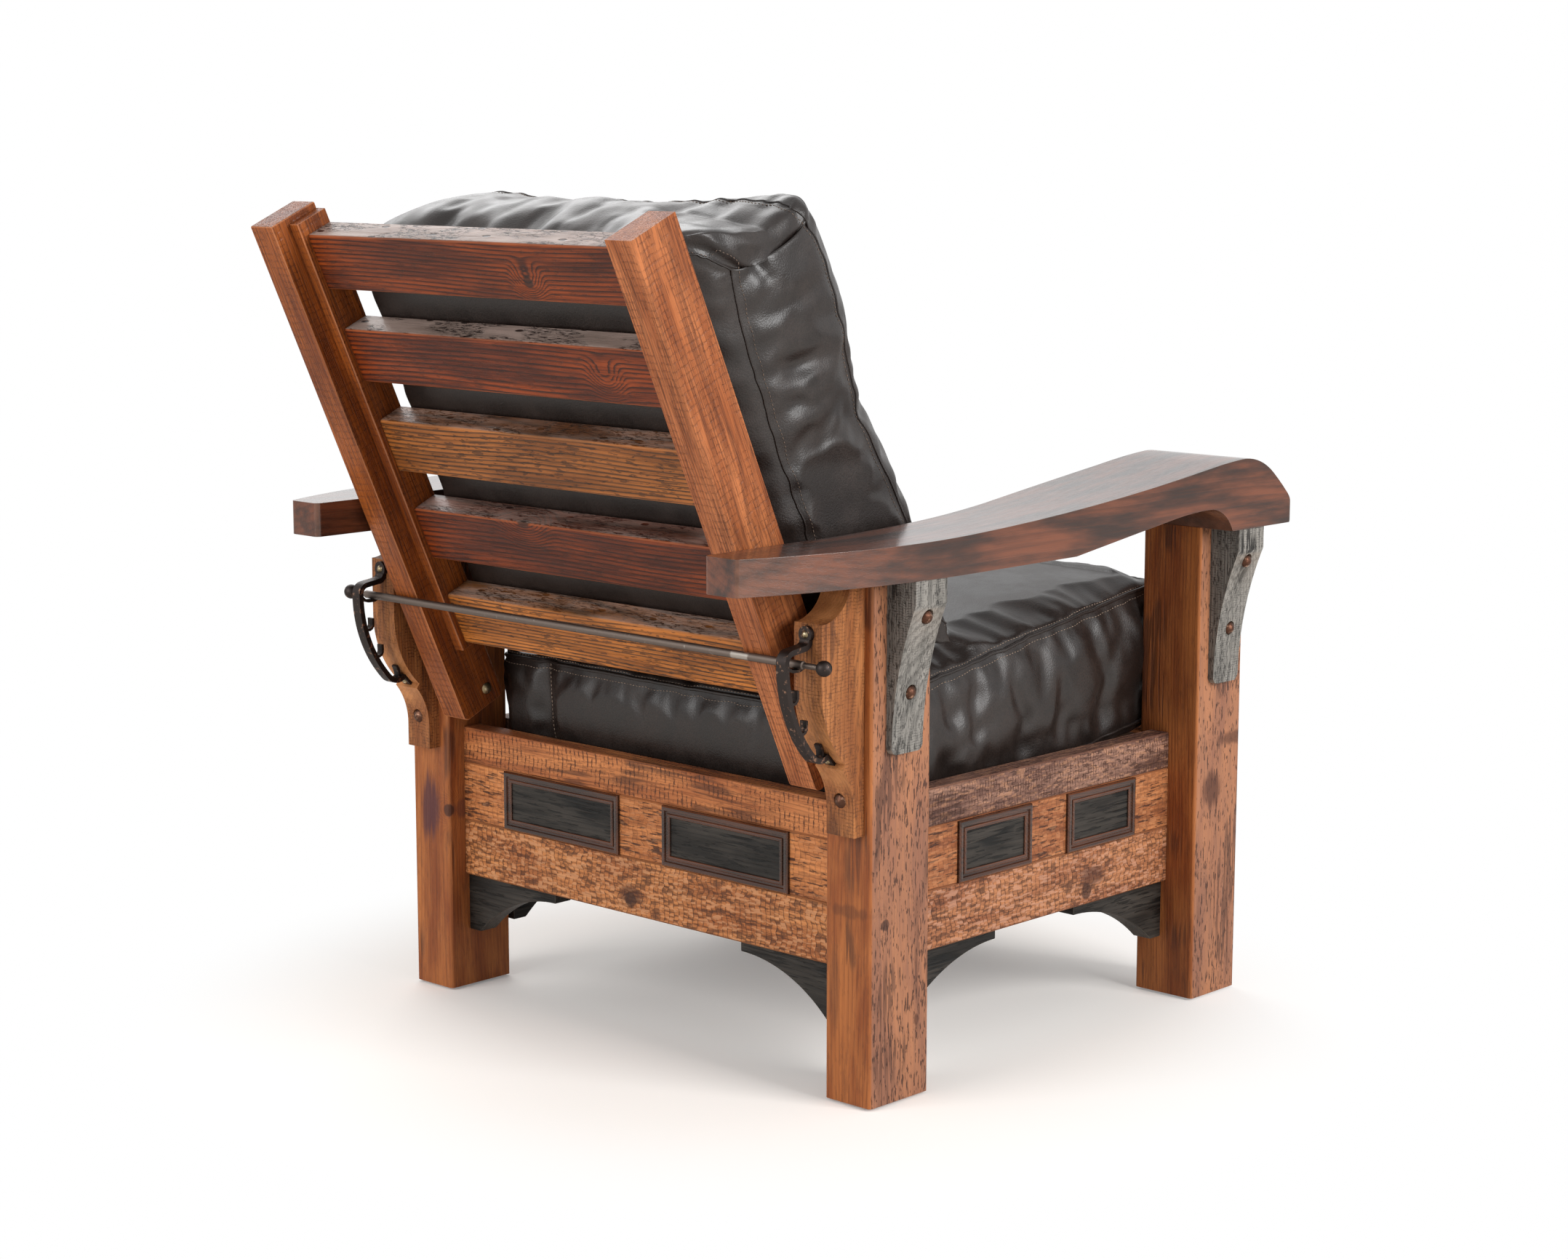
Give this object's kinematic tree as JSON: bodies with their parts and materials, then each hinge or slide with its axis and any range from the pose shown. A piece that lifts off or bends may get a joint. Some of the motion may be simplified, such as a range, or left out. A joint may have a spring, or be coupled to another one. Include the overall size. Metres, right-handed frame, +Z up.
{
  "type": "reclining club chair",
  "caption": "Reclining club chair in reclaimed wood: slatted back on pivots leans on a cross rod in notched iron racks, with loose leather seat and back cushions.",
  "frame": {"origin": "on the floor under the middle of the chair's bounding box", "axes": "+Z up, the chair faces -Y, +X is the sitter's left"},
  "size_m": [0.877, 1.0278, 1.0315],
  "materials": {
    "barn_wood": "oiled reclaimed timber, sawn and worn",
    "back_wood": "oiled reclaimed timber, smooth",
    "slat_wood": "oiled reclaimed timber, nail-holed",
    "dark_wood": "dark brown gloss lacquer",
    "black_wood": "black stain, satin",
    "moulding_wood": "dark stained moulding",
    "deck_wood": "plain planed boards",
    "leather": "dark brown leather with stitched seams",
    "iron": "dark bronze patina with worn edges",
    "bronze": "aged bronze, hammered",
    "brass": "aged brass",
    "glide": "matt"
  },
  "bodies": {
    "root": {"arm_left": "dark_wood", "arm_right": "dark_wood", "corbel_bolts": "bronze", "corbel_front_left": "black_wood", "corbel_front_right": "black_wood", "corbel_rear_left": "black_wood", "corbel_rear_right": "black_wood", "deck_slats": "deck_wood", "foot_glides": "glide", "front_brackets": "black_wood", "front_inserts": "black_wood", "front_moulding": "moulding_wood", "front_rail_bottom": "barn_wood", "front_rail_middle": "barn_wood", "front_rail_top": "barn_wood", "left_brackets": "black_wood", "left_inserts": "black_wood", "left_moulding": "moulding_wood", "left_rail_bottom": "barn_wood", "left_rail_middle": "barn_wood", "left_rail_top": "barn_wood", "pivot_bolts": "brass", "pivot_washers": "brass", "post_front_left": "barn_wood", "post_front_right": "barn_wood", "post_rear_left": "barn_wood", "post_rear_right": "barn_wood", "rack_block_bolts": "brass", "rack_block_left": "barn_wood", "rack_block_right": "barn_wood", "rack_left": "iron", "rack_right": "iron", "rack_screws": "brass", "rear_brackets": "black_wood", "rear_inserts": "black_wood", "rear_moulding": "moulding_wood", "rear_rail_bottom": "barn_wood", "rear_rail_middle": "barn_wood", "rear_rail_top": "barn_wood", "right_brackets": "black_wood", "right_inserts": "black_wood", "right_moulding": "moulding_wood", "right_rail_bottom": "barn_wood", "right_rail_middle": "barn_wood", "right_rail_top": "barn_wood", "seat_cushion": "leather", "seat_ledgers": "deck_wood"},
    "back": {"stile_left": "back_wood", "stile_right": "back_wood", "cleat_left": "back_wood", "cleat_right": "back_wood", "back_slat_1": "slat_wood", "back_slat_2": "slat_wood", "back_slat_3": "slat_wood", "back_slat_4": "slat_wood", "back_slat_5": "slat_wood"},
    "back_pad": {"back_cushion": "leather"},
    "rod": {"cross_rod": "iron", "rod_knobs": "iron"}
  },
  "joints": [
    {"name": "back_recline", "type": "hinge", "parent": "root", "child": "back", "pos_m": [0, 0.19754, 0.396], "axis": [1, 0, 0], "range_deg": [0, 10]},
    {"name": "cushion_lift", "type": "slide", "parent": "back", "child": "back_pad", "axis": [0, 0.4131, 0.9107], "range_m": [0, 0.058]},
    {"name": "rod_lift", "type": "slide", "parent": "root", "child": "rod", "axis": [0, 0.4131, 0.9107], "range_m": [0, 0.006]}
  ],
  "couplings": [
    {"joint": "cushion_lift", "follows": "back_recline", "m_per_rad": 0.33}
  ]
}
